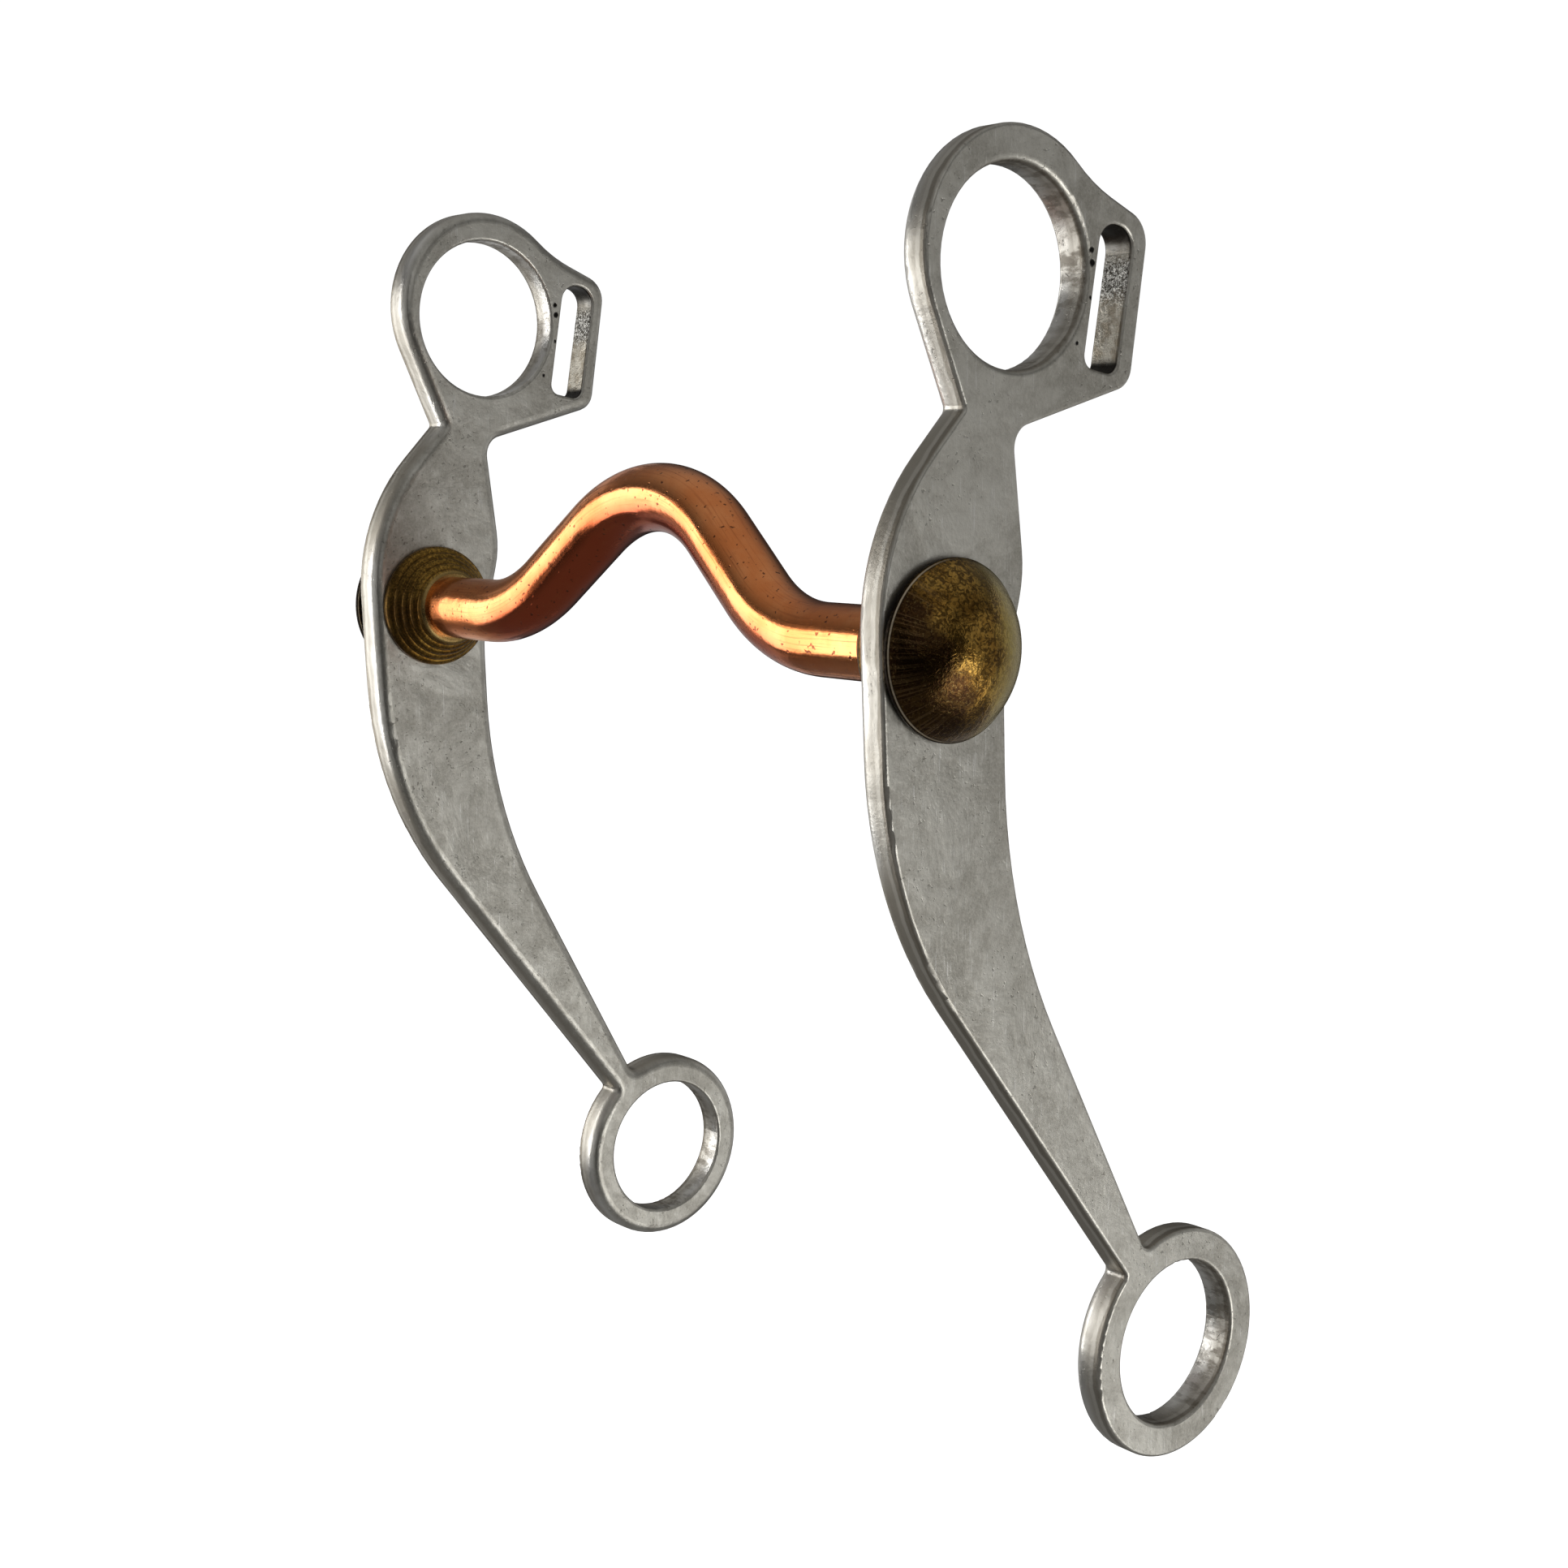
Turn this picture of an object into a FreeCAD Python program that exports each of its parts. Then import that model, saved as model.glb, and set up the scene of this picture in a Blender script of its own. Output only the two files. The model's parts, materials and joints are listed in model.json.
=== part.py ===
import FreeCAD, Part
import math
import os
import Sketcher

# A loose-cheek curb bit. Two flat shanks each turn on a steel pin at the end of a
# round copper mouthpiece. A turned brass collar inside the shank and a brass dome
# outside it keep the shank on its pin, with a thin steel washer under the dome.
#
# Frame: the origin is on the pivot axis, half way between the shanks. +X points to
# the left shank, along the mouthpiece. +Y points back, to the rider. +Z points up,
# to the cheek rings. All sizes are in millimetres and degrees.

doc = FreeCAD.newDocument("curb_bit")
sheet = doc.addObject("Spreadsheet::Sheet", "Sizes")

DRIVING_SIZES = [
    ("mouth_width", 127.0, "between the inner faces of the shanks"),
    ("shank_thickness", 5.4, "plate thickness of a shank"),
    ("cheek_play", 0.1, "end play on each side of a shank"),
    ("washer_thickness", 0.4, "washer between shank and dome"),
    ("washer_radius", 10.8, "washer between shank and dome"),
    ("pin_radius", 3.5, "pivot pin"),
    ("pin_clearance", 0.05, "radial clearance of the pin in the shank and washer"),
    ("pin_in_bar", 15.0, "depth of the pin in the end of the mouthpiece"),
    ("pin_in_dome", 4.5, "depth of the pin in the dome"),
    ("pin_chamfer", 0.5, "both ends of the pin"),
    # mouthpiece
    ("bar_radius", 5.4, "round mouthpiece bar"),
    ("bar_heading", 0.0, "direction of the bar's ends"),
    ("port_foot_radius", 27.45, "bend where the port rises from the bar"),
    ("port_crown_radius", 25.89, "bend over the top of the port"),
    ("port_slope", 38.05, "steepest slope of the port"),
    ("port_side", 14.2, "straight side of the port"),
    ("port_lean", 9.66, "lean of the port towards the back"),
    # brass collar
    ("collar_radius", 10.6, "foot of the collar"),
    ("collar_foot", 0.7, "height of the straight foot"),
    ("collar_height", 6.2, "from the foot's face to the lip"),
    ("collar_lip_radius", 5.9, "lip round the bar"),
    ("collar_bead_radius", 1.3, "roundness of each turned bead"),
    # brass dome
    ("dome_radius", 12.5, "rim of the dome"),
    ("dome_rim", 0.8, "height of the straight rim"),
    ("dome_step", 0.2, "chamfer at both edges of the rim"),
    ("dome_height", 7.2, "from the washer to the top"),
    # shank outline, upper part: from the front notch round to the rein ring
    ("notch_y", 2.7, "front notch, under the cheek ring"),
    ("notch_z", 32.0, "front notch, under the cheek ring"),
    ("cheek_front_heading", 114.24, "direction of the straight above the notch"),
    ("cheek_front", 14.6, "straight above the notch"),
    ("crown_radius", 17.45, "outside of the cheek ring"),
    ("crown_turn", 154.24, "outside of the cheek ring"),
    ("saddle_radius", 26.0, "hollow between cheek ring and curb loop"),
    ("saddle_turn", 18.2, "hollow between cheek ring and curb loop"),
    ("loop_top", 4.9, "top edge of the curb loop"),
    ("loop_top_radius", 4.5, "upper corner of the curb loop"),
    ("loop_top_turn", 76.7, "upper corner of the curb loop"),
    ("loop_back", 17.0, "rear edge of the curb loop"),
    ("loop_foot_radius", 3.5, "lower corner of the curb loop"),
    ("loop_foot_turn", 65.8, "lower corner of the curb loop"),
    ("loop_underside", 19.0, "lower edge of the curb loop"),
    ("throat_radius", 3.5, "hollow where the loop meets the blade"),
    ("throat_turn", 81.8, "hollow where the loop meets the blade"),
    ("neck_rear", 13.4, "rear edge above the shoulder"),
    ("shoulder_radius", 18.0, "rear bulge beside the pivot"),
    ("shoulder_turn", 21.3, "rear bulge beside the pivot"),
    ("shoulder_straight", 7.6, "rear edge beside the pivot"),
    ("waist_radius", 30.0, "rear hollow under the pivot"),
    ("waist_turn", 16.0, "rear hollow under the pivot"),
    ("waist_straight", 8.2, "rear edge under the pivot"),
    ("sweep_radius", 85.6, "rear edge, long sweep to the back"),
    ("sweep_turn", 26.7, "rear edge, long sweep to the back"),
    ("tail_rear", 45.9, "rear edge down to the rein ring"),
    # shank outline, front edge: from the notch down to the rein ring
    ("neck_front_heading", -133.75, "direction of the straight under the notch"),
    ("neck_front", 8.13, "straight under the notch"),
    ("brow_radius", 33.52, "front edge above the pivot"),
    ("brow_turn", 46.47, "front edge above the pivot"),
    ("belly_straight", 15.75, "front edge beside the pivot"),
    ("belly_radius", 63.25, "front edge under the pivot"),
    ("belly_turn", 35.84, "front edge under the pivot"),
    ("tail_front", 62.6, "front edge down to the rein ring"),
    # rings and slot
    ("cheek_hole_y", 12.1, "centre of the cheek ring's hole"),
    ("cheek_hole_z", 51.1, "centre of the cheek ring's hole"),
    ("cheek_hole_radius", 13.75, "cheek ring's hole"),
    ("rein_ring_y", 51.1, "centre of the rein ring"),
    ("rein_ring_z", -110.6, "centre of the rein ring"),
    ("rein_ring_radius", 18.1, "outside of the rein ring"),
    ("rein_hole_radius", 13.0, "rein ring's hole"),
    ("slot_start_y", 26.0, "front side of the curb slot, lower end"),
    ("slot_start_z", 40.1, "front side of the curb slot, lower end"),
    ("slot_heading", 80.5, "direction of the curb slot's sides"),
    ("slot_width", 6.6, "curb slot"),
    ("slot_length", 20.3, "curb slot, end to end"),
    ("slot_top_radius", 3.0, "upper corners of the curb slot"),
    ("slot_foot_radius", 1.8, "lower corners of the curb slot"),
    ("slot_corner_turn", 90.0, "corners of the curb slot"),
    ("notch_round", 0.8, "fillet in the front notches"),
    ("ring_round", 2.0, "fillet behind the blade at the rein ring"),
    ("outer_round", 0.6, "rounding of the outline in a shank's outer face"),
    ("inner_round", 2.0, "rounding of the outline in a shank's inner face"),
    ("cheek_hole_round", 1.0, "rounding of the cheek ring's hole in the outer face"),
    ("hole_round", 0.6, "rounding of the other rims of holes and slots"),
]
BEAD_LETTERS = "abcdef"

# Places on a shank, as the aliases of their Y and Z.
NOTCH = ("notch_y", "notch_z")
CHEEK_HOLE = ("cheek_hole_y", "cheek_hole_z")
REIN_RING = ("rein_ring_y", "rein_ring_z")
SLOT_START = ("slot_start_y", "slot_start_z")

# How near an edge must be to a place to belong to it, and how flat a flat face is.
EDGE_REACH = 0.5
FLATNESS = 1e-4


def write_cell(row, alias, value, note):
    sheet.set("A%d" % row, note)
    sheet.set("B%d" % row, "%.6f" % value)
    sheet.setAlias("B%d" % row, alias)


def size(alias):
    """The value that the sheet holds under this alias."""
    return float(getattr(sheet, alias))


def derived_sizes():
    """Sizes that follow from the driving ones, worked out before any part is drawn."""
    shank_inner = size("mouth_width") / 2
    shank_outer = shank_inner + size("shank_thickness")
    collar_base = shank_inner - size("cheek_play")
    washer_base = shank_outer + size("cheek_play")
    dome_base = washer_base + size("washer_thickness")

    slope = math.radians(size("port_slope"))
    bend_radii = size("port_foot_radius") + size("port_crown_radius")
    port_half_width = bend_radii * math.sin(slope) + size("port_side") * math.cos(slope)

    cap_depth = size("dome_height") - size("dome_rim")
    cap_radius = size("dome_radius") - size("dome_step")
    cap_sphere = (cap_radius ** 2 + cap_depth ** 2) / (2 * cap_depth)

    rows = [
        ("shank_inner_x", shank_inner),
        ("collar_base_x", collar_base),
        ("washer_base_x", washer_base),
        ("dome_base_x", dome_base),
        ("right_shank_x", -shank_outer),
        ("bore_radius", size("pin_radius") + size("pin_clearance")),
        ("pin_inner_x", collar_base - size("pin_in_bar")),
        ("pin_inner_edge_x", collar_base - size("pin_in_bar") + size("pin_chamfer")),
        ("pin_outer_x", dome_base + size("pin_in_dome")),
        ("pin_outer_edge_x", dome_base + size("pin_in_dome") - size("pin_chamfer")),
        ("pin_tip_radius", size("pin_radius") - size("pin_chamfer")),
        ("bar_end", collar_base - port_half_width),
        ("port_crown_turn", 2 * size("port_slope")),
        ("slot_side", size("slot_length") - size("slot_top_radius") - size("slot_foot_radius")),
        ("slot_top", size("slot_width") - 2 * size("slot_top_radius")),
        ("slot_foot", size("slot_width") - 2 * size("slot_foot_radius")),
        ("dome_edge_x", dome_base + size("dome_step")),
        ("dome_rim_x", dome_base + size("dome_rim") - size("dome_step")),
        ("dome_cap_x", dome_base + size("dome_rim")),
        ("dome_top_x", dome_base + size("dome_height")),
        ("dome_cap_radius", cap_radius),
        ("dome_sphere_radius", cap_sphere),
        ("collar_lip_x", collar_base - size("collar_height")),
    ]
    return rows + collar_bead_rows(collar_base)


def collar_bead_rows(collar_base):
    """Ends of the turned beads, evenly spaced on a cone from the foot to the lip."""
    rows = []
    rise = size("collar_height") - size("collar_foot")
    run = size("collar_radius") - size("collar_lip_radius")
    for bead, letter in enumerate(BEAD_LETTERS):
        along = bead / (len(BEAD_LETTERS) - 1)
        rows.append(("bead_%s_x" % letter, collar_base - size("collar_foot") - rise * along))
        rows.append(("bead_%s_radius" % letter, size("collar_radius") - run * along))
    return rows


def fill_sheet():
    row = 1
    for alias, value, note in DRIVING_SIZES:
        write_cell(row, alias, value, note)
        row += 1
    doc.recompute()
    for alias, value in derived_sizes():
        write_cell(row, alias, value, "worked out from the sizes above")
        row += 1
    doc.recompute()


def new_body(name, placement=None):
    body = doc.addObject("PartDesign::Body", name)
    body.Label = name
    if placement:
        body.Placement = placement
    return body


def new_sketch(body, name, plane):
    """A sketch on one of the body's own origin planes."""
    sketch = body.newObject("Sketcher::SketchObject", name)
    for feature in body.Origin.OriginFeatures:
        if feature.Role == plane:
            sketch.AttachmentSupport = [(feature, "")]
    sketch.MapMode = "FlatFace"
    return sketch


def bind(sketch, constraint, alias):
    """Add a constraint and let the sheet set its value."""
    index = sketch.addConstraint(constraint)
    sketch.setExpression("Constraints[%d]" % index, "Sizes." + alias)


def fix_point(sketch, geometry, point, x_alias, y_alias):
    bind(sketch, Sketcher.Constraint("DistanceX", -1, 1, geometry, point, size(x_alias)), x_alias)
    bind(sketch, Sketcher.Constraint("DistanceY", -1, 1, geometry, point, size(y_alias)), y_alias)


def step(point, heading, length):
    return point + FreeCAD.Vector(math.cos(heading), math.sin(heading), 0) * length


def draw_course(sketch, start, heading_alias, moves):
    """Draw straights and bends end to end, each tangent to the one before.

    A move is ("straight", length) or ("left" or "right", radius, turn), with aliases for
    the sizes. The first move is a straight. Returns the geometry and point of the end.
    """
    point = FreeCAD.Vector(start[0], start[1], 0)
    heading = math.radians(size(heading_alias))
    last = None
    for move in moves:
        if move[0] == "straight":
            end = step(point, heading, size(move[1]))
            geometry = sketch.addGeometry(Part.LineSegment(point, end))
            first_point, last_point = 1, 2
            bind(sketch, Sketcher.Constraint("Distance", geometry, size(move[1])), move[1])
        else:
            side = 1 if move[0] == "left" else -1
            radius = size(move[1])
            turn = math.radians(size(move[2]))
            centre = step(point, heading + side * math.pi / 2, radius)
            from_angle = heading - side * math.pi / 2
            to_angle = from_angle + side * turn
            circle = Part.Circle(centre, FreeCAD.Vector(0, 0, 1), radius)
            low, high = min(from_angle, to_angle), max(from_angle, to_angle)
            geometry = sketch.addGeometry(Part.ArcOfCircle(circle, low, high))
            first_point, last_point = (1, 2) if side > 0 else (2, 1)
            heading += side * turn
            end = step(centre, to_angle, radius)
            bind(sketch, Sketcher.Constraint("Radius", geometry, radius), move[1])
            bind(sketch, Sketcher.Constraint("Angle", geometry, turn), move[2])
        if last:
            joint = Sketcher.Constraint("Tangent", last[0], last[1], geometry, first_point)
            sketch.addConstraint(joint)
        else:
            angle = Sketcher.Constraint("Angle", geometry, heading)
            bind(sketch, angle, heading_alias)
        last = (geometry, last_point)
        point = end
    return last, point


def draw_circle(sketch, radius_alias, centre=None):
    """A circle, at the sketch's origin unless the centre's two aliases are given."""
    x, y = (size(centre[0]), size(centre[1])) if centre else (0, 0)
    circle = Part.Circle(FreeCAD.Vector(x, y, 0), FreeCAD.Vector(0, 0, 1), size(radius_alias))
    geometry = sketch.addGeometry(circle)
    bind(sketch, Sketcher.Constraint("Radius", geometry, size(radius_alias)), radius_alias)
    if centre:
        fix_point(sketch, geometry, 3, *centre)
    else:
        sketch.addConstraint(Sketcher.Constraint("Coincident", geometry, 3, -1, 1))


def draw_profile(sketch, corners):
    """A closed half section above the X axis, to be turned about that axis.

    A corner is (x, radius) in aliases, with None for a point on the axis. With a third
    alias, the edge to the next corner is an arc of that radius, bulging outwards.
    """
    points = []
    for corner in corners:
        points.append(FreeCAD.Vector(size(corner[0]), size(corner[1]) if corner[1] else 0, 0))
    first = None
    last = None
    for index, corner in enumerate(corners):
        start = points[index]
        end = points[(index + 1) % len(points)]
        if len(corner) == 3:
            geometry, ends = add_bulge(sketch, start, end, corner[2])
        else:
            geometry = sketch.addGeometry(Part.LineSegment(start, end))
            ends = (1, 2)
        fix_corner(sketch, geometry, ends[0], corner)
        if last:
            sketch.addConstraint(Sketcher.Constraint("Coincident", last[0], last[1], geometry, ends[0]))
        first = first or (geometry, ends[0])
        last = (geometry, ends[1])
    sketch.addConstraint(Sketcher.Constraint("Coincident", last[0], last[1], first[0], first[1]))


def fix_corner(sketch, geometry, point, corner):
    x_alias, radius_alias = corner[:2]
    bind(sketch, Sketcher.Constraint("DistanceX", -1, 1, geometry, point, size(x_alias)), x_alias)
    if radius_alias:
        height = Sketcher.Constraint("DistanceY", -1, 1, geometry, point, size(radius_alias))
        bind(sketch, height, radius_alias)
    else:
        sketch.addConstraint(Sketcher.Constraint("PointOnObject", geometry, point, -1))


def add_bulge(sketch, start, end, radius_alias):
    """An arc from start to end whose centre is on the side nearer the X axis."""
    radius = size(radius_alias)
    middle = (start + end) * 0.5
    half = (end - start).Length / 2
    across = FreeCAD.Vector(end.y - start.y, start.x - end.x, 0).normalize()
    if across.y > 0:
        across = across * -1
    centre = middle + across * math.sqrt(radius ** 2 - half ** 2)
    angles = [math.atan2(spot.y - centre.y, spot.x - centre.x) for spot in (start, end)]
    circle = Part.Circle(centre, FreeCAD.Vector(0, 0, 1), radius)
    geometry = sketch.addGeometry(Part.ArcOfCircle(circle, min(angles), max(angles)))
    bind(sketch, Sketcher.Constraint("Radius", geometry, radius), radius_alias)
    ends = (1, 2) if angles[0] < angles[1] else (2, 1)
    return geometry, ends


def add_pad(body, sketch, name):
    pad = body.newObject("PartDesign::Pad", name)
    pad.Profile = sketch
    pad.setExpression("Length", "Sizes.shank_thickness")
    doc.recompute()
    return pad


def add_through_hole(body, sketch, name):
    """Cut the sketch through the plate, which lies on the sketch's positive side."""
    before = body.Shape.Volume
    pocket = body.newObject("PartDesign::Pocket", name)
    pocket.Profile = sketch
    pocket.Reversed = True
    pocket.setExpression("Length", "Sizes.shank_thickness")
    doc.recompute()
    if body.Shape.Volume >= before:
        raise RuntimeError(name + " cuts nothing")
    return pocket


def edges_where(feature, test):
    """Names of the feature's edges that pass the test."""
    return ["Edge%d" % number for number, edge in enumerate(feature.Shape.Edges, 1) if test(edge)]


def centre_of(feature, edge_name):
    return feature.Shape.getElement(edge_name).BoundBox.Center


def add_fillet(body, base, name, edges, radius_alias):
    fillet = body.newObject("PartDesign::Fillet", name)
    fillet.Base = (base, edges)
    fillet.setExpression("Radius", "Sizes." + radius_alias)
    doc.recompute()
    return fillet


def face_places(name):
    """Where a shank's inner and outer faces lie along its body's X axis."""
    places = (0.0, size("shank_thickness"))
    return places if name.startswith("left") else places[::-1]


def lies_in_face(face_x):
    """A test for an edge that lies in the flat face at face_x."""
    def test(edge):
        box = edge.BoundBox
        return box.XLength < FLATNESS and abs(box.XMin - face_x) < FLATNESS
    return test


def crossing_near(place, reach):
    """A test for an edge that crosses the plate's thickness near a place."""
    def test(edge):
        box = edge.BoundBox
        away = math.hypot(box.Center.y - size(place[0]), box.Center.z - size(place[1]))
        return box.XLength > size("shank_thickness") / 2 and away < reach
    return test


def round_rim(body, plate, name, face_x, place, radius_alias):
    """Round the rim, in the flat face at face_x, of the hole nearest to a place."""
    middle = FreeCAD.Vector(face_x, size(place[0]), size(place[1]))
    rims = []
    for face in plate.Shape.Faces:
        if face.BoundBox.XLength < FLATNESS:
            rims += [wire for wire in face.Wires if not wire.isSame(face.OuterWire)]
    rim = min(rims, key=lambda wire: wire.BoundBox.Center.distanceToPoint(middle))
    edges = edges_where(plate, lambda edge: any(edge.isSame(part) for part in rim.Edges))
    return add_fillet(body, plate, name, edges, radius_alias)


def draw_shank_outline(sketch):
    """The plate's outline: two courses from the front notch, ending in the rein ring."""
    notch = [size(alias) for alias in NOTCH]
    over_the_top = [
        ("straight", "cheek_front"),
        ("right", "crown_radius", "crown_turn"),
        ("left", "saddle_radius", "saddle_turn"),
        ("straight", "loop_top"),
        ("right", "loop_top_radius", "loop_top_turn"),
        ("straight", "loop_back"),
        ("right", "loop_foot_radius", "loop_foot_turn"),
        ("straight", "loop_underside"),
        ("left", "throat_radius", "throat_turn"),
        ("straight", "neck_rear"),
        ("right", "shoulder_radius", "shoulder_turn"),
        ("straight", "shoulder_straight"),
        ("left", "waist_radius", "waist_turn"),
        ("straight", "waist_straight"),
        ("left", "sweep_radius", "sweep_turn"),
        ("straight", "tail_rear"),
    ]
    down_the_front = [
        ("straight", "neck_front"),
        ("left", "brow_radius", "brow_turn"),
        ("straight", "belly_straight"),
        ("left", "belly_radius", "belly_turn"),
        ("straight", "tail_front"),
    ]
    rear_end, rear_point = draw_course(sketch, notch, "cheek_front_heading", over_the_top)
    fix_point(sketch, 0, 1, *NOTCH)
    front_end, front_point = draw_course(sketch, notch, "neck_front_heading", down_the_front)
    front_first = len(over_the_top)
    sketch.addConstraint(Sketcher.Constraint("Coincident", front_first, 1, 0, 1))
    closing = sketch.addGeometry(Part.LineSegment(rear_point, front_point))
    sketch.addConstraint(Sketcher.Constraint("Coincident", closing, 1, *rear_end))
    sketch.addConstraint(Sketcher.Constraint("Coincident", closing, 2, *front_end))


def draw_slot(sketch):
    start = [size(alias) for alias in SLOT_START]
    end, _ = draw_course(sketch, start, "slot_heading", [
        ("straight", "slot_side"),
        ("right", "slot_top_radius", "slot_corner_turn"),
        ("straight", "slot_top"),
        ("right", "slot_top_radius", "slot_corner_turn"),
        ("straight", "slot_side"),
        ("right", "slot_foot_radius", "slot_corner_turn"),
        ("straight", "slot_foot"),
    ])
    fix_point(sketch, 0, 1, *SLOT_START)
    centre = step(FreeCAD.Vector(start[0], start[1], 0),
                  math.radians(size("slot_heading")) - math.pi / 2, size("slot_foot_radius"))
    last_angle = math.radians(size("slot_heading")) + math.pi / 2
    circle = Part.Circle(centre, FreeCAD.Vector(0, 0, 1), size("slot_foot_radius"))
    arc = Part.ArcOfCircle(circle, last_angle, last_angle + math.pi / 2)
    corner = sketch.addGeometry(arc)
    sketch.addConstraint(Sketcher.Constraint("Coincident", corner, 1, 0, 1))
    sketch.addConstraint(Sketcher.Constraint("Tangent", end[0], end[1], corner, 2))


def make_shank(name, x_alias):
    """A flat shank: cheek ring, curb loop, blade and rein ring in one cast plate."""
    body = new_body(name)
    body.setExpression("Placement.Base.x", "Sizes." + x_alias)
    inner_x, outer_x = face_places(name)

    outline = new_sketch(body, name + "_outline", "YZ_Plane")
    draw_shank_outline(outline)
    add_pad(body, outline, name + "_plate")

    ring = new_sketch(body, name + "_ring", "YZ_Plane")
    draw_circle(ring, "rein_ring_radius", REIN_RING)
    plate = add_pad(body, ring, name + "_ring_pad")
    plate = fill_notches(body, plate, name)
    inner_edges = edges_where(plate, lies_in_face(inner_x))
    plate = add_fillet(body, plate, name + "_inner_edges", inner_edges, "inner_round")
    outer_edges = edges_where(plate, lies_in_face(outer_x))
    add_fillet(body, plate, name + "_outer_edges", outer_edges, "outer_round")

    for hole, radius_alias, place in (("cheek_hole", "cheek_hole_radius", CHEEK_HOLE),
                                      ("rein_hole", "rein_hole_radius", REIN_RING)):
        sketch = new_sketch(body, "%s_%s" % (name, hole), "YZ_Plane")
        draw_circle(sketch, radius_alias, place)
        add_through_hole(body, sketch, "%s_%s_cut" % (name, hole))
    slot = new_sketch(body, name + "_slot", "YZ_Plane")
    draw_slot(slot)
    plate = add_through_hole(body, slot, name + "_slot_cut")

    for face, face_x, cheek_round in (("inner", inner_x, "hole_round"),
                                      ("outer", outer_x, "cheek_hole_round")):
        rim = "%s_%s_" % (name, face)
        plate = round_rim(body, plate, rim + "cheek_rim", face_x, CHEEK_HOLE, cheek_round)
        plate = round_rim(body, plate, rim + "rein_rim", face_x, REIN_RING, "hole_round")
        plate = round_rim(body, plate, rim + "slot_rim", face_x, SLOT_START, "hole_round")

    bore = new_sketch(body, name + "_bore", "YZ_Plane")
    draw_circle(bore, "bore_radius")
    add_through_hole(body, bore, name + "_bore_cut")
    return body


def fill_notches(body, plate, name):
    """Fill the notches in the plate's outline: at the rein ring and under the cheek ring."""
    ring_reach = size("rein_ring_radius") + EDGE_REACH
    at_ring = crossing_near(REIN_RING, ring_reach)
    rear = max(edges_where(plate, at_ring), key=lambda edge: centre_of(plate, edge).z)
    plate = add_fillet(body, plate, name + "_ring_rear", [rear], "ring_round")

    front = min(edges_where(plate, at_ring), key=lambda edge: centre_of(plate, edge).y)
    notch = edges_where(plate, crossing_near(NOTCH, EDGE_REACH))
    return add_fillet(body, plate, name + "_notches", notch + [front], "notch_round")


def make_bar():
    """The round mouthpiece bar with its port, and a socket for a pin in each end."""
    lean = FreeCAD.Rotation(FreeCAD.Vector(1, 0, 0), -size("port_lean"))
    body = new_body("mouthpiece_bar", FreeCAD.Placement(FreeCAD.Vector(), lean))

    path = new_sketch(body, "bar_path", "XZ_Plane")
    draw_course(path, (-size("collar_base_x"), 0), "bar_heading", [
        ("straight", "bar_end"),
        ("left", "port_foot_radius", "port_slope"),
        ("straight", "port_side"),
        ("right", "port_crown_radius", "port_crown_turn"),
        ("straight", "port_side"),
        ("left", "port_foot_radius", "port_slope"),
        ("straight", "bar_end"),
    ])
    start = Sketcher.Constraint("DistanceX", 0, 1, -1, 1, size("collar_base_x"))
    bind(path, start, "collar_base_x")
    path.addConstraint(Sketcher.Constraint("PointOnObject", 0, 1, -1))

    section = new_sketch(body, "bar_section", "YZ_Plane")
    section.setExpression("AttachmentOffset.Base.z", "-Sizes.collar_base_x")
    draw_circle(section, "bar_radius")
    doc.recompute()

    pipe = body.newObject("PartDesign::AdditivePipe", "bar_sweep")
    pipe.Profile = section
    pipe.Spine = (path, ["Edge%d" % (number + 1) for number in range(path.GeometryCount)])
    doc.recompute()

    before = body.Shape.Volume
    for end, turn in (("left", 0), ("right", 180)):
        sockets = new_sketch(body, end + "_socket", "XY_Plane")
        if turn:
            sockets.AttachmentOffset = FreeCAD.Placement(
                FreeCAD.Vector(), FreeCAD.Rotation(FreeCAD.Vector(0, 1, 0), turn))
        draw_profile(sockets, [("pin_inner_x", None), ("pin_inner_x", "pin_radius"),
                               ("collar_base_x", "pin_radius"), ("collar_base_x", None)])
        groove = body.newObject("PartDesign::Groove", end + "_socket_cut")
        groove.Profile = sockets
        groove.ReferenceAxis = (sockets, ["H_Axis"])
        doc.recompute()
    if body.Shape.Volume >= before:
        raise RuntimeError("the sockets cut nothing")
    return body


def make_turned(name, side, corners):
    """A part turned about the pivot axis, drawn for the left side."""
    turn = 0 if side == "left" else 180
    about_z = FreeCAD.Rotation(FreeCAD.Vector(0, 0, 1), turn)
    body = new_body("%s_%s" % (side, name), FreeCAD.Placement(FreeCAD.Vector(), about_z))
    profile = new_sketch(body, "%s_%s_profile" % (side, name), "XY_Plane")
    draw_profile(profile, corners)
    turned = body.newObject("PartDesign::Revolution", "%s_%s_turned" % (side, name))
    turned.Profile = profile
    turned.ReferenceAxis = (profile, ["H_Axis"])
    doc.recompute()
    return body


def collar_corners():
    """A turned brass collar: a straight foot, then rounded beads up to the lip."""
    corners = [("collar_base_x", "bar_radius"), ("collar_base_x", "collar_radius")]
    for letter in BEAD_LETTERS[:-1]:
        corners.append(("bead_%s_x" % letter, "bead_%s_radius" % letter, "collar_bead_radius"))
    corners.append(("bead_%s_x" % BEAD_LETTERS[-1], "bead_%s_radius" % BEAD_LETTERS[-1]))
    corners.append(("collar_lip_x", "bar_radius"))
    return corners


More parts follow.
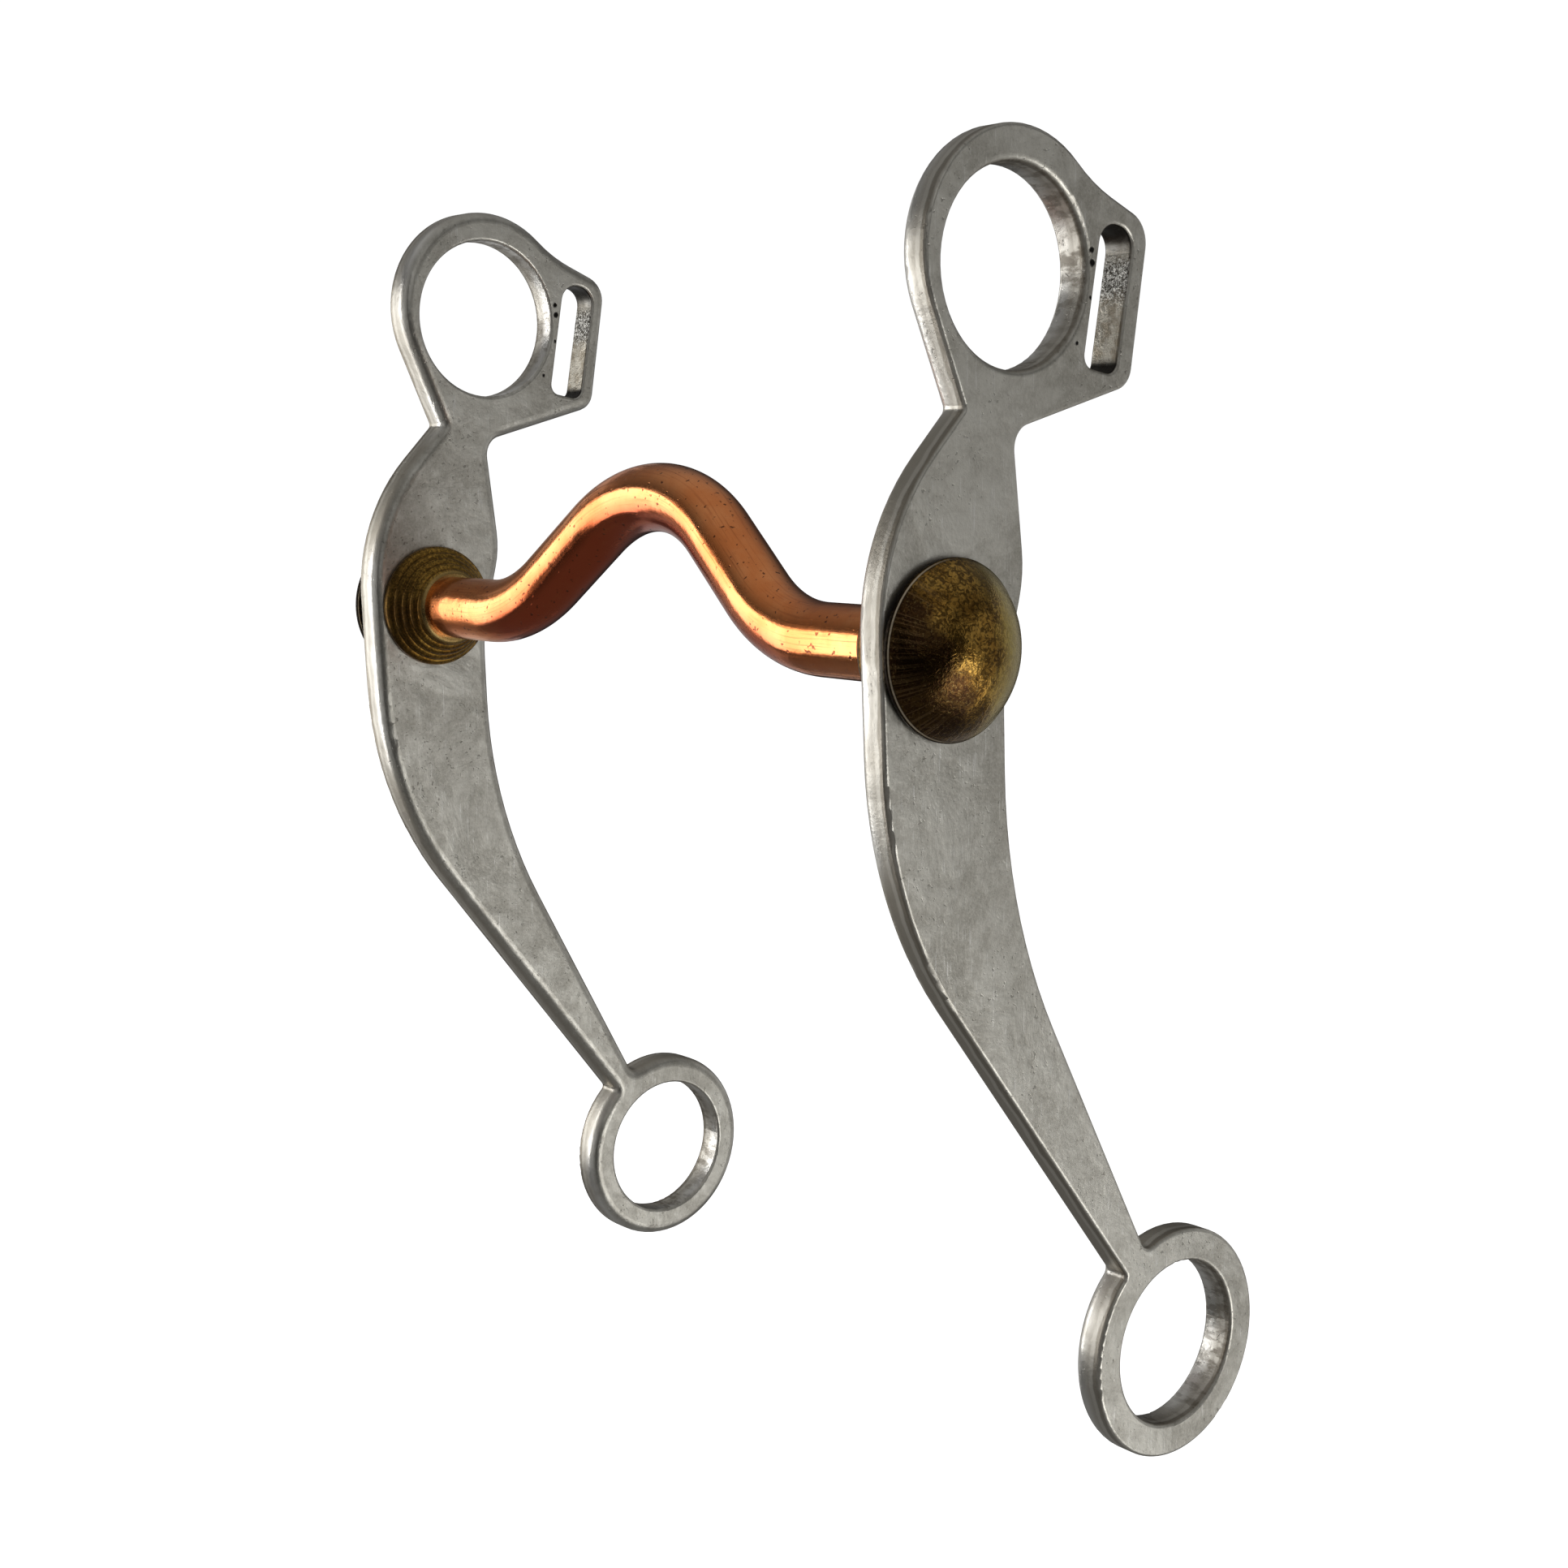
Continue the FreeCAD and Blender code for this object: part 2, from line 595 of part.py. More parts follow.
WASHER_CORNERS = [("washer_base_x", "bore_radius"), ("washer_base_x", "washer_radius"),
                  ("dome_base_x", "washer_radius"), ("dome_base_x", "bore_radius")]
PIN_CORNERS = [("pin_inner_x", None), ("pin_inner_x", "pin_tip_radius"),
               ("pin_inner_edge_x", "pin_radius"), ("pin_outer_edge_x", "pin_radius"),
               ("pin_outer_x", "pin_tip_radius"), ("pin_outer_x", None)]
DOME_CORNERS = [("pin_outer_x", None), ("pin_outer_x", "pin_radius"),
                ("dome_base_x", "pin_radius"), ("dome_base_x", "dome_cap_radius"),
                ("dome_edge_x", "dome_radius"), ("dome_rim_x", "dome_radius"),
                ("dome_cap_x", "dome_cap_radius", "dome_sphere_radius"), ("dome_top_x", None)]


def check_document():
    """Stop if any object failed to build."""
    for item in doc.Objects:
        if "Invalid" in item.State or "Error" in item.State:
            raise RuntimeError("%s is in state %s" % (item.Name, item.State))


def write_part(body):
    shape = body.Shape
    if shape.isNull() or not shape.isValid() or len(shape.Solids) != 1:
        raise RuntimeError(body.Label + " is not one valid solid")
    shape.exportStep(os.path.join("parts", body.Label + ".step"))
    box = shape.BoundBox
    print("%-20s volume %9.1f  x %7.2f %7.2f  y %7.2f %7.2f  z %8.2f %7.2f" % (
        body.Label, shape.Volume, box.XMin, box.XMax, box.YMin, box.YMax, box.ZMin, box.ZMax))


def main():
    fill_sheet()
    bodies = [make_bar(), make_shank("left_shank", "shank_inner_x"),
              make_shank("right_shank", "right_shank_x")]
    for side in ("left", "right"):
        bodies.append(make_turned("collar", side, collar_corners()))
        bodies.append(make_turned("dome_cap", side, DOME_CORNERS))
        bodies.append(make_turned("pivot_pin", side, PIN_CORNERS))
        bodies.append(make_turned("dome_washer", side, WASHER_CORNERS))
    doc.recompute()
    check_document()
    os.makedirs("parts", exist_ok=True)
    for body in bodies:
        write_part(body)


main()
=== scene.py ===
"""Looks of the curb bit: its metals, the studio round it and the camera."""

import json
import math

import bpy
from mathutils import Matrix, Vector


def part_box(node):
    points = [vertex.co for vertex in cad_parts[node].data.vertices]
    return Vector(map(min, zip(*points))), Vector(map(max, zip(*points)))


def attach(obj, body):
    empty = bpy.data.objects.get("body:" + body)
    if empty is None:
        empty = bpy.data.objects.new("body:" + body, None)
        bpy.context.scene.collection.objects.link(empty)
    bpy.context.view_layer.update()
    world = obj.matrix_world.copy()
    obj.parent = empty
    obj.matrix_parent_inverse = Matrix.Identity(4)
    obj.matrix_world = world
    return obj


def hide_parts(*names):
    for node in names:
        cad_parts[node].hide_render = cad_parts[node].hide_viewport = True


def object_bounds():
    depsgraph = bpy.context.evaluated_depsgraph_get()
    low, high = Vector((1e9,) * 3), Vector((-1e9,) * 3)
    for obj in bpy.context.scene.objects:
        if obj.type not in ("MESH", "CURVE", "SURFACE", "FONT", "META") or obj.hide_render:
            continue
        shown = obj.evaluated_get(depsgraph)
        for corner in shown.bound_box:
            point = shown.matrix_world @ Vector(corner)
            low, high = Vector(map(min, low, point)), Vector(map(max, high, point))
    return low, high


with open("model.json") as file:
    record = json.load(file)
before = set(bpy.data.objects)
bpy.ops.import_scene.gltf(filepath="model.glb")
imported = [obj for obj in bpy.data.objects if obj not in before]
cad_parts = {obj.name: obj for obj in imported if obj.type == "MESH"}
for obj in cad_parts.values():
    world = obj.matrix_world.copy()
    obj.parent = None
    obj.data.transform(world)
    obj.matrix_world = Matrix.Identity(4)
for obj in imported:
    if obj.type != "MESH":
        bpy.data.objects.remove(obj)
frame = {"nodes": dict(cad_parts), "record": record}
cad_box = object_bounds()

MM = 0.001

# The camera, as a direction and a distance from the point it looks at. That point lies a
# little to the right of the object's middle and above it, as the camera sees it.
CAMERA_AZIMUTH = 50.187
CAMERA_ELEVATION = 8.0
CAMERA_DISTANCE = 370.20 * MM
CAMERA_ASIDE = 0.25 * MM
CAMERA_ABOVE = 1.30 * MM
SENSOR = 36.0
LENS = 50.62

# The floor lies just below the circle that the rein rings swing through.
FLOOR_GAP = 2 * MM
RING_IN_BOX = 0.96
BACKDROP_RADIUS = 4.0
BACKDROP_SIDES = 64


def look_direction(azimuth, elevation):
    """Unit vector from the object towards an azimuth and an elevation in degrees."""
    a = math.radians(azimuth)
    e = math.radians(elevation)
    return Vector((math.sin(a) * math.cos(e), -math.cos(a) * math.cos(e), math.sin(e)))


def middle_of(box):
    return (box[0] + box[1]) / 2


# ---------------------------------------------------------------- node helpers


class Graph:
    """A material's nodes, with one short call for each kind that the materials use."""

    def __init__(self, name):
        self.material = bpy.data.materials.new(name)
        self.material.use_nodes = True
        self.nodes = self.material.node_tree.nodes
        self.links = self.material.node_tree.links
        self.shader = self.nodes["Principled BSDF"]

    def plug(self, socket, value):
        """Links value into a socket if it is another socket, and sets it if it is a constant."""
        if isinstance(value, bpy.types.NodeSocket):
            self.links.new(value, socket)
        else:
            socket.default_value = value

    def node(self, kind, inputs=None, **settings):
        made = self.nodes.new(kind)
        for name, value in settings.items():
            setattr(made, name, value)
        for name, value in (inputs or {}).items():
            self.plug(made.inputs[name], value)
        return made

    def set(self, **values):
        """Sets the shader's sockets; base_color stands for "Base Color"."""
        for name, value in values.items():
            self.plug(self.shader.inputs[name.replace("_", " ").title()], value)

    def place(self):
        """The point on the object, in the frame's metres."""
        return self.node("ShaderNodeTexCoord").outputs["Object"]

    def stretched(self, coords, scale, turn=(0, 0, 0)):
        inputs = {"Vector": coords, "Scale": scale, "Rotation": tuple(map(math.radians, turn))}
        return self.node("ShaderNodeMapping", inputs).outputs["Vector"]

    def noise(self, coords, size, detail=2.0, roughness=0.5, distortion=0.0):
        """Noise whose blotches are about size metres across."""
        inputs = {
            "Vector": coords,
            "Scale": 1 / size,
            "Detail": detail,
            "Roughness": roughness,
            "Distortion": distortion,
        }
        return self.node("ShaderNodeTexNoise", inputs).outputs["Fac"]

    def math(self, operation, a, b=0.0):
        made = self.node("ShaderNodeMath", operation=operation)
        self.plug(made.inputs[0], a)
        self.plug(made.inputs[1], b)
        return made.outputs["Value"]

    def spread(self, value, low, high, to_low=0.0, to_high=1.0, smooth=True):
        """value from low to high, mapped to to_low to to_high and held there outside."""
        inputs = {
            "Value": value,
            "From Min": low,
            "From Max": high,
            "To Min": to_low,
            "To Max": to_high,
        }
        kind = "SMOOTHSTEP" if smooth else "LINEAR"
        return self.node("ShaderNodeMapRange", inputs, interpolation_type=kind).outputs["Result"]

    def mix(self, factor, a, b, blend="MIX"):
        made = self.node("ShaderNodeMix", data_type="RGBA", blend_type=blend)
        self.plug(made.inputs["Factor"], factor)
        self.plug(made.inputs[6], a)
        self.plug(made.inputs[7], b)
        return made.outputs[2]

    def bump(self, height, depth, normal=None):
        """Relief of depth metres between height 0 and 1."""
        inputs = {"Height": height, "Distance": depth}
        if normal is not None:
            inputs["Normal"] = normal
        return self.node("ShaderNodeBump", inputs).outputs["Normal"]


def grey(value):
    return (value, value, value, 1.0)


NEAR_BLACK = (0.012, 0.011, 0.010, 1)


# ---------------------------------------------------------------- materials


def sideways(g):
    """How much of the surface's normal lies along X: 1 on a shank's flat faces, 0 on its walls."""
    normal = g.node("ShaderNodeNewGeometry").outputs["Normal"]
    across = g.node("ShaderNodeSeparateXYZ", {"Vector": normal}).outputs["X"]
    return g.math("ABSOLUTE", across)


def band(g, value, low, high, soft):
    """1 between low and high, falling to 0 over a soft edge outside them."""
    rise = g.spread(value, low - soft, low)
    fall = g.spread(value, high, high + soft, 1.0, 0.0)
    return g.math("MULTIPLY", rise, fall)


def distance_beside(g, point):
    """Distance in metres from an axis along X through a point."""
    flat = g.stretched(g.place(), (0, 1, 1))
    there = (0, point.y, point.z)
    measure = g.node("ShaderNodeVectorMath", {0: flat, 1: there}, operation="DISTANCE")
    return measure.outputs["Value"]


def mount(name):
    """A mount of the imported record."""
    return next(m for m in frame["record"]["mounts"] if m["name"] == name)


def mount_point(name):
    return Vector(mount(name)["pos_m"])


def cast_steel():
    """Satin cast stainless steel: cloudy, speckled and scratched, with walls of their own tone that carry
    painted highlights and painted shade.
    """
    g = Graph("cast_steel")
    place = g.place()
    facing = sideways(g)
    walls = g.spread(facing, 0.25, 0.97, 1.0, 0.0)
    clouds = g.noise(place, 15 * MM, detail=5.0, roughness=0.62, distortion=0.5)
    mottle = g.noise(place, 2.8 * MM, detail=5.0, roughness=0.7)
    grain = g.noise(place, 0.45 * MM, detail=3.0, roughness=0.7)

    tone = g.math("ADD", g.math("MULTIPLY", clouds, 0.55), g.math("MULTIPLY", mottle, 0.45))
    colour = g.mix(g.spread(tone, 0.38, 0.62), (0.385, 0.365, 0.315, 1), (0.61, 0.59, 0.525, 1))
    colour = g.mix(g.spread(grain, 0.35, 0.7, 0.0, 0.35), colour, (0.67, 0.65, 0.59, 1))
    dots = g.spread(g.noise(place, 0.8 * MM, detail=2.0, roughness=0.6), 0.62, 0.70)
    patches = g.spread(g.noise(place, 12 * MM, detail=2.0), 0.42, 0.60, 0.15, 1.0)
    specks = g.math("MULTIPLY", dots, patches)
    colour = g.mix(g.math("MULTIPLY", specks, 0.5), colour, (0.13, 0.12, 0.10, 1))
    scratches = scratched(g, place, mottle)
    colour = g.mix(g.math("MULTIPLY", scratches, 0.4), colour, (0.80, 0.79, 0.76, 1))
    # The walls' own tone, with rubbed wear, painted highlights and a painted shade line.
    wall_colour, rubbed_and_painted_highlight = wall_tone_and_painted_light(g, place)
    colour = g.mix(g.math("MULTIPLY", walls, 0.9), colour, wall_colour)

    pits = pitting(g)
    colour = g.mix(pits, colour, NEAR_BLACK)
    dirt = hole_dirt(g, place, walls)
    colour = g.mix(dirt, colour, (0.12, 0.095, 0.065, 1))
    # The slot wall's stains, with painted shade and painted glints.
    in_slot, slot_colour_and_painted_light, sparkle = slot_wall(g, place, walls)
    colour = g.mix(in_slot, colour, slot_colour_and_painted_light)

    handled_edge = band(g, facing, 0.80, 0.93, 0.1)
    satin = g.spread(tone, 0.35, 0.65, 0.50, 0.42)
    satin = g.math("ADD", satin, g.math("MULTIPLY", walls, g.spread(rubbed_and_painted_highlight, 0.0, 1.0, 0.02, -0.14)))
    satin = g.math("ADD", satin, g.math("MULTIPLY", dirt, 0.12))
    satin = g.math("ADD", satin, g.math("MULTIPLY", handled_edge, -0.12))
    g.set(base_color=colour, metallic=1.0, roughness=satin)

    relief = g.bump(clouds, 0.30 * MM)
    relief = g.bump(mottle, 0.07 * MM, relief)
    relief = g.bump(grain, 0.010 * MM, relief)
    relief = g.bump(g.math("MULTIPLY", specks, -1.0), 0.03 * MM, relief)
    relief = g.bump(g.math("MULTIPLY", scratches, -1.0), 0.006 * MM, relief)
    relief = g.bump(g.math("MULTIPLY", pits, -1.0), 0.25 * MM, relief)
    relief = g.bump(sparkle, 0.05 * MM, relief)
    g.set(normal=relief)
    return g.material


def wall_tone_and_painted_light(g, place):
    """Colour of a shank's walls, and how far they are rubbed bright by use and painted with a highlight
    there.

    The rubbing and the painted highlight are strongest along the inner side. A painted highlight ridge and a
    soft painted shade line run beside the outer face.
    """
    low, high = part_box("left_shank")
    inward = g.math("ABSOLUTE", g.node("ShaderNodeSeparateXYZ", {"Vector": place}).outputs["X"])
    wavy = g.math("MULTIPLY", g.math("SUBTRACT", g.noise(place, 7 * MM, detail=3.0), 0.5), 1.6 * MM)
    across = g.spread(g.math("ADD", inward, wavy), low.x, high.x, smooth=False)
    rubbed_and_painted_highlight = g.math("MULTIPLY", rubbed_bright_and_painted_highlight(g, place), g.spread(across, 0.22, 0.62, 1.0, 0.25))
    # Rubbed wear and painted highlight: the walls are painted near white round the rings and the pivot.
    colour = g.mix(rubbed_and_painted_highlight, (0.40, 0.365, 0.305, 1), (0.86, 0.84, 0.79, 1))
    # Painted highlight: a light ridge line on the wall beside the outer face.
    painted_ridge_highlight = band(g, across, 0.66, 0.74, 0.07)
    colour = g.mix(g.math("MULTIPLY", painted_ridge_highlight, 0.5), colour, (0.70, 0.67, 0.60, 1))
    # Painted shade: a soft dark line between that ridge and the outer face.
    painted_shade_line = band(g, across, 0.82, 0.92, 0.07)
    colour = g.mix(g.math("MULTIPLY", painted_shade_line, 0.55), colour, (0.17, 0.14, 0.10, 1))
    return colour, rubbed_and_painted_highlight


def rubbed_bright_and_painted_highlight(g, place):
    """1 where use rubs a shank's walls bright and a highlight is painted on them: at the cheek ring, the
    pivot and the rein ring.
    """
    height = g.node("ShaderNodeSeparateXYZ", {"Vector": place}).outputs["Z"]
    cheek, rein = mount_point("left_cheek_ring").z, mount_point("left_rein_ring").z
    above = g.spread(height, cheek - 24 * MM, cheek - 18 * MM)
    beside = band(g, height, -26 * MM, 6 * MM, 8 * MM)
    below = g.spread(height, rein + 12 * MM, rein + 17 * MM, 1.0, 0.0)
    bright = g.math("MAXIMUM", g.math("MAXIMUM", above, below), beside)
    patches = g.spread(g.noise(place, 11 * MM, detail=3.0), 0.36, 0.56, 0.35, 1.0)
    return g.math("MULTIPLY", bright, patches)


def scratched(g, place, mottle):
    """Fine scratches across the flat faces, in three directions, broken by the mottling."""
    scratches = 0.0
    for turn in (-58, 27, 70):
        streaks = g.noise(g.stretched(place, (1, 1, 0.035), (turn, 0, 0)), 0.30 * MM, detail=1.0)
        lines = g.math("MULTIPLY", g.spread(streaks, 0.68, 0.75), g.spread(mottle, 0.42, 0.60))
        scratches = g.math("MAXIMUM", scratches, lines)
    return scratches


# Casting pits round the rear of the cheek ring's hole: direction from its centre, in degrees
# up from straight back, then distance from its edge and radius, in millimetres.
PITS = [
    (12.0, 1.2, 0.42),
    (5.2, 1.1, 0.50),
    (-2.7, 1.9, 0.34),
    (-13.2, 1.2, 0.30),
    (-20.2, 2.3, 0.26),
    (-39.2, 1.6, 0.28),
]


def pitting(g):
    """A few black casting pits in the web between the cheek ring and the curb slot."""
    middle = mount_point("left_cheek_ring")
    edge = mount("left_cheek_ring")["dims"]["r_mm"] * MM
    wobble = g.noise(g.place(), 0.5 * MM, detail=2.0)
    pits = 0.0
    for direction, beyond, radius in PITS:
        angle = math.radians(direction)
        reach = edge + beyond * MM
        spot = middle + Vector((0, reach * math.cos(angle), reach * math.sin(angle)))
        far = g.math("ADD", distance_beside(g, spot), g.math("MULTIPLY", wobble, 0.3 * MM))
        pits = g.math("MAXIMUM", pits, g.spread(far, radius * MM, (radius + 0.25) * MM, 1.0, 0.0))
    return pits


def hole_dirt(g, place, walls):
    """Brown dirt on the walls of the two round holes, in short smears across the plate."""
    dirt = 0.0
    smears = g.noise(g.stretched(place, (0.45, 1, 1)), 1.5 * MM, detail=4.0, roughness=0.65)
    patches = g.noise(place, 9 * MM, detail=2.0)
    amount = g.math("MULTIPLY", g.spread(smears, 0.40, 0.62), g.spread(patches, 0.35, 0.6, 0.35, 1.0))
    for name in ("left_cheek_ring", "left_rein_ring"):
        radius = mount(name)["dims"]["r_mm"] * MM
        far = distance_beside(g, mount_point(name))
        inside = g.spread(far, radius + 0.2 * MM, radius + 0.9 * MM, 1.0, 0.0)
        dirt = g.math("MAXIMUM", dirt, g.math("MULTIPLY", inside, walls))
    return g.math("MULTIPLY", dirt, g.spread(amount, 0.0, 1.0, 0.05, 0.6))


def slot_wall(g, place, walls):
    """The unfinished wall of the curb slot: where it is, its colour and the relief of its grains.

    From the top down it is painted black shade, then grains with painted glints, then dull brown, and painted
    dark shade again at the foot.
    """
    middle = mount_point("left_curb_slot")
    parts = g.node("ShaderNodeSeparateXYZ", {"Vector": place})
    rise = g.math("SUBTRACT", parts.outputs["Z"], middle.z)
    near = g.spread(distance_beside(g, middle), 10.2 * MM, 11.2 * MM, 1.0, 0.0)
    beside = band(g, parts.outputs["Y"], middle.y - 4.2 * MM, middle.y + 4.2 * MM, 0.8 * MM)
    inside = g.math("MULTIPLY", g.math("MULTIPLY", near, beside), g.spread(walls, 0.4, 0.8))

    grains = g.spread(g.noise(place, 0.40 * MM, detail=3.0, roughness=0.75), 0.40, 0.64)
    stains = g.noise(place, 1.6 * MM, detail=3.0)
    uneven = g.math("ADD", rise, g.math("MULTIPLY", stains, 2 * MM))
    # Grains painted near black and near white: the cast grain with painted glints.
    grains_with_painted_glints = band(g, uneven, 3.0 * MM, 5.0 * MM, 3.5 * MM)
    colour = g.mix(g.spread(stains, 0.35, 0.65), (0.28, 0.245, 0.19, 1), (0.46, 0.43, 0.365, 1))
    colour = g.mix(grains_with_painted_glints, colour, g.mix(grains, (0.07, 0.062, 0.05, 1), (0.92, 0.90, 0.84, 1)))
    # Painted shade: the slot's wall is painted black at the top and dark at its foot.
    top = g.spread(uneven, 7.0 * MM, 8.5 * MM)
    foot = g.spread(rise, -9.2 * MM, -7.8 * MM, 1.0, 0.0)
    painted_slot_shade = g.math("MAXIMUM", top, foot)
    colour = g.mix(g.math("MULTIPLY", painted_slot_shade, 0.92), colour, NEAR_BLACK)
    sparkle = g.math("MULTIPLY", g.math("MULTIPLY", grains, inside), g.spread(grains_with_painted_glints, 0.0, 1.0, 0.15, 1.0))
    return inside, colour, sparkle


def copper():
    """Satin copper of the mouthpiece bar, drawn along its length."""
    g = Graph("copper")
    grain = g.node("ShaderNodeAttribute", attribute_name="grain").outputs["Vector"]
    place = g.place()
    clouds = g.noise(place, 9 * MM, detail=4.0, roughness=0.6)
    mottle = g.noise(place, 1.6 * MM, detail=4.0, roughness=0.7)
    drawn = g.noise(g.stretched(grain, (0.03, 1, 1)), 0.35 * MM, detail=3.0, roughness=0.6)
    colour = g.mix(g.spread(clouds, 0.35, 0.65), (0.88, 0.28, 0.085, 1), (0.97, 0.37, 0.135, 1))
    out = g.node("ShaderNodeSeparateXYZ", {"Vector": grain}).outputs["Y"]
    # Painted shade: the bar's underside is painted dark red, most of all on the port.
    under = g.spread(out, -4 * MM, 1.5 * MM, 0.9, 0.0)
    aside = g.math("ABSOLUTE", g.node("ShaderNodeSeparateXYZ", {"Vector": place}).outputs["X"])
    painted_underside_shade = g.math("MULTIPLY", under, g.spread(aside, 34 * MM, 46 * MM, 1.0, 0.3))
    colour = g.mix(painted_underside_shade, colour, (0.36, 0.055, 0.025, 1))
    colour = g.mix(g.spread(drawn, 0.52, 0.74, 0.0, 0.45), colour, (0.42, 0.11, 0.035, 1))
    colour = g.mix(g.spread(mottle, 0.56, 0.75, 0.0, 0.35), colour, (0.50, 0.16, 0.06, 1))
    pits = g.spread(g.noise(place, 0.8 * MM, detail=1.0), 0.68, 0.74)
    colour = g.mix(g.math("MULTIPLY", pits, 0.8), colour, (0.10, 0.03, 0.015, 1))
    satin = g.math("ADD", g.spread(clouds, 0.3, 0.7, 0.19, 0.14), g.spread(drawn, 0.4, 0.75, 0.0, 0.08))
    g.set(base_color=colour, metallic=1.0, roughness=satin)
    relief = g.bump(clouds, 0.10 * MM)
    relief = g.bump(mottle, 0.012 * MM, relief)
    relief = g.bump(drawn, 0.006 * MM, relief)
    relief = g.bump(g.math("MULTIPLY", pits, -1.0), 0.02 * MM, relief)
    g.set(normal=relief)
    return g.material


def turned_coords(g):
    """A part turned about the pivot axis: its place, and how far out, back, up and along it is."""
    place = g.place()
    parts = g.node("ShaderNodeSeparateXYZ", {"Vector": place})
    back, up = parts.outputs["Y"], parts.outputs["Z"]
    out = g.math("SQRT", g.math("ADD", g.math("MULTIPLY", back, back), g.math("MULTIPLY", up, up)))
    along = g.math("ABSOLUTE", parts.outputs["X"])
    return place, out, back, up, along


def domed_brass():
    """The antiqued domes: mottled brown above, a painted olive haze on the back half, painted black shade on
    the front, and scored marks low in front.
    """
    g = Graph("domed_brass")
    place, out, back, up, _ = turned_coords(g)
    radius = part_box("left_dome_cap")[1].y
    flat = g.stretched(place, (0, 1, 1))
    direction = g.node("ShaderNodeVectorMath", {0: flat}, operation="NORMALIZE").outputs["Vector"]
    clouds = g.noise(place, 5 * MM, detail=4.0, roughness=0.6)
    worms = g.noise(place, 0.75 * MM, detail=2.0, roughness=0.6, distortion=1.3)
    fine = g.noise(place, 0.3 * MM, detail=2.0)

    uneven = g.math("ADD", back, g.math("MULTIPLY", g.math("SUBTRACT", clouds, 0.5), 7 * MM))
    # Painted light and shade: the back half gets a painted olive haze, the front half painted black shade,
    # darkest low down.
    painted_haze_behind = g.spread(uneven, 0 * MM, 6 * MM)
    before = g.spread(g.math("ADD", uneven, g.math("MULTIPLY", up, 0.5)), -6.5 * MM, -2.5 * MM, 1.0, 0.0)
    patina = g.mix(g.spread(clouds, 0.35, 0.65), (0.32, 0.165, 0.030, 1), (0.55, 0.32, 0.070, 1))
    patina = g.mix(g.math("MULTIPLY", painted_haze_behind, 0.85), patina, (0.34, 0.275, 0.070, 1))
    # Dark worm marks of the patina, painted heavier on the front half as shade.
    worm_patina_and_front_shade = g.math("MULTIPLY", g.spread(worms, 0.40, 0.62, 1.0, 0.0), g.spread(painted_haze_behind, 0.0, 1.0, 0.9, 0.25))
    patina = g.mix(g.math("MULTIPLY", worm_patina_and_front_shade, 0.9), patina, (0.030, 0.014, 0.004, 1))
    # Painted black shade on the front half.
    patina = g.mix(g.math("MULTIPLY", before, 0.9), patina, (0.030, 0.013, 0.007, 1))
    patina = g.mix(g.spread(fine, 0.55, 0.75, 0.0, 0.25), patina, (0.45, 0.33, 0.12, 1))

    marks = g.noise(g.stretched(direction, (1, 10 * MM, 10 * MM)), 0.42 * MM, detail=2.0)
    low_front = g.spread(g.math("ADD", uneven, g.math("MULTIPLY", up, 0.6)), -3 * MM, 3 * MM, 1.0, 0.0)
    at_edge = g.math("MULTIPLY", g.spread(out, 0.64 * radius, 0.90 * radius), low_front)
    scored = g.math("MULTIPLY", g.spread(marks, 0.50, 0.60), at_edge)
    patina = g.mix(g.math("MULTIPLY", scored, 0.5), patina, (0.20, 0.12, 0.05, 1))
    # Painted shade: the rim's side and a thin ring just inside it are painted near black.
    side = g.spread(out, radius - 0.14 * MM, radius - 0.07 * MM)
    shade = g.math("MULTIPLY", g.spread(out, radius - 0.5 * MM, radius - 0.3 * MM), 0.6)
    painted_rim_shade = g.math("MAXIMUM", side, shade)
    patina = g.mix(g.math("MULTIPLY", painted_rim_shade, 0.93), patina, (0.012, 0.009, 0.006, 1))
    # Painted highlight: a thin light line just inside the dome's rim, on the front only.
    line = band(g, out, radius - 0.26 * MM, radius - 0.18 * MM, 0.06 * MM)
    bright_lip_and_painted_highlight = g.math("MULTIPLY", line, g.spread(back, -8 * MM, 2 * MM, 1.0, 0.0))
    patina = g.mix(g.math("MULTIPLY", bright_lip_and_painted_highlight, 0.8), patina, (0.62, 0.52, 0.38, 1))

    satin = g.spread(painted_haze_behind, 0.0, 1.0, 0.13, 0.25)
    satin = g.math("ADD", satin, g.math("MULTIPLY", worm_patina_and_front_shade, 0.14))
    satin = g.math("ADD", satin, g.math("MULTIPLY", painted_rim_shade, 0.3))
    g.set(base_color=patina, metallic=1.0, roughness=satin)
    relief = g.bump(clouds, 0.16 * MM)
    relief = g.bump(worms, 0.05 * MM, relief)
    relief = g.bump(scored, 0.015 * MM, relief)
    g.set(normal=relief)
    return g.material


